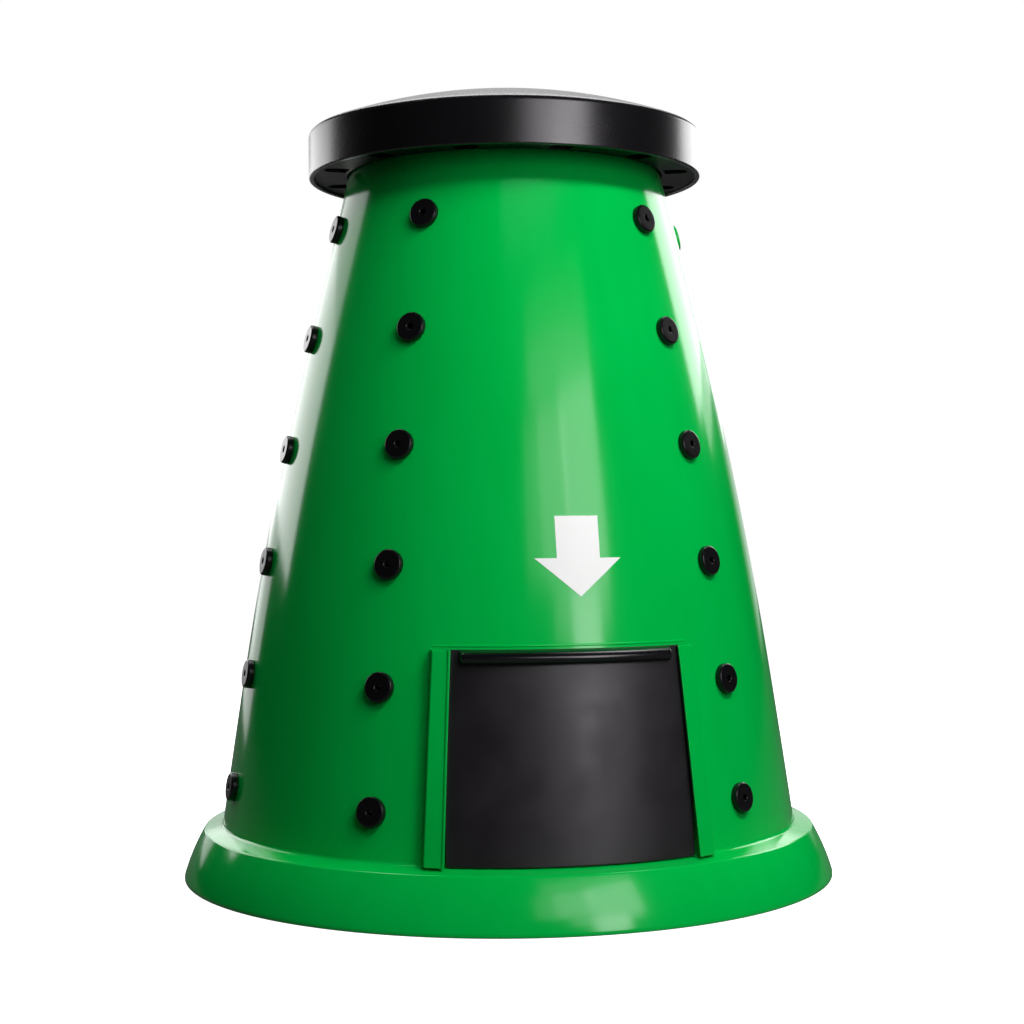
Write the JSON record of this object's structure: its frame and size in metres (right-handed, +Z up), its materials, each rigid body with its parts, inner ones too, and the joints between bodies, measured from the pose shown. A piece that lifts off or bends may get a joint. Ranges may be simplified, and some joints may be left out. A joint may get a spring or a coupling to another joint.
{
  "type": "compost bin",
  "caption": "Tapered round garden compost bin on a flared foot, with a lift-off vented lid, a harvest door that slides up in two guides, and rows of round vent plugs in the wall.",
  "frame": {"origin": "centre of the foot on the ground, under the middle of the bin", "axes": "+Z up along the bin's axis, -Y out of the harvest door at the front, +X to the right seen from the front"},
  "size_m": [0.8, 0.8, 0.9595],
  "materials": {
    "green_plastic": "glossy moulded polypropylene",
    "black_plastic": "satin moulded polypropylene"
  },
  "bodies": {
    "body": {"body_shell": "green_plastic", "door_guide_right": "green_plastic", "door_guide_left": "green_plastic", "vent_plug_r1_c1": "black_plastic", "vent_plug_r1_c2": "black_plastic", "vent_plug_r1_c3": "black_plastic", "vent_plug_r1_c4": "black_plastic", "vent_plug_r1_c5": "black_plastic", "vent_plug_r1_c6": "black_plastic", "vent_plug_r1_c7": "black_plastic", "vent_plug_r2_c1": "black_plastic", "vent_plug_r2_c2": "black_plastic", "vent_plug_r2_c3": "black_plastic", "vent_plug_r2_c4": "black_plastic", "vent_plug_r2_c5": "black_plastic", "vent_plug_r2_c6": "black_plastic", "vent_plug_r2_c7": "black_plastic", "vent_plug_r3_c1": "black_plastic", "vent_plug_r3_c2": "black_plastic", "vent_plug_r3_c3": "black_plastic", "vent_plug_r3_c4": "black_plastic", "vent_plug_r3_c5": "black_plastic", "vent_plug_r3_c6": "black_plastic", "vent_plug_r3_c7": "black_plastic", "vent_plug_r4_c1": "black_plastic", "vent_plug_r4_c2": "black_plastic", "vent_plug_r4_c3": "black_plastic", "vent_plug_r4_c4": "black_plastic", "vent_plug_r4_c5": "black_plastic", "vent_plug_r4_c6": "black_plastic", "vent_plug_r4_c7": "black_plastic", "vent_plug_r5_c1": "black_plastic", "vent_plug_r5_c2": "black_plastic", "vent_plug_r5_c3": "black_plastic", "vent_plug_r5_c4": "black_plastic", "vent_plug_r5_c5": "black_plastic", "vent_plug_r5_c6": "black_plastic", "vent_plug_r5_c7": "black_plastic", "vent_plug_r6_c1": "black_plastic", "vent_plug_r6_c2": "black_plastic", "vent_plug_r6_c3": "black_plastic", "vent_plug_r6_c4": "black_plastic", "vent_plug_r6_c5": "black_plastic", "vent_plug_r6_c6": "black_plastic", "vent_plug_r6_c7": "black_plastic"},
    "door": {"harvest_door": "black_plastic"},
    "lid": {"lid_cap": "black_plastic", "lid_vent_plate": "black_plastic"}
  },
  "joints": [
    {"name": "door_slide", "type": "slide", "parent": "body", "child": "door", "axis": [0, 0.1498, 0.9887], "range_m": [0, 0.19]},
    {"name": "lid_lift", "type": "slide", "parent": "body", "child": "lid", "axis": [0, 0, 1], "range_m": [0, 0.25]}
  ]
}
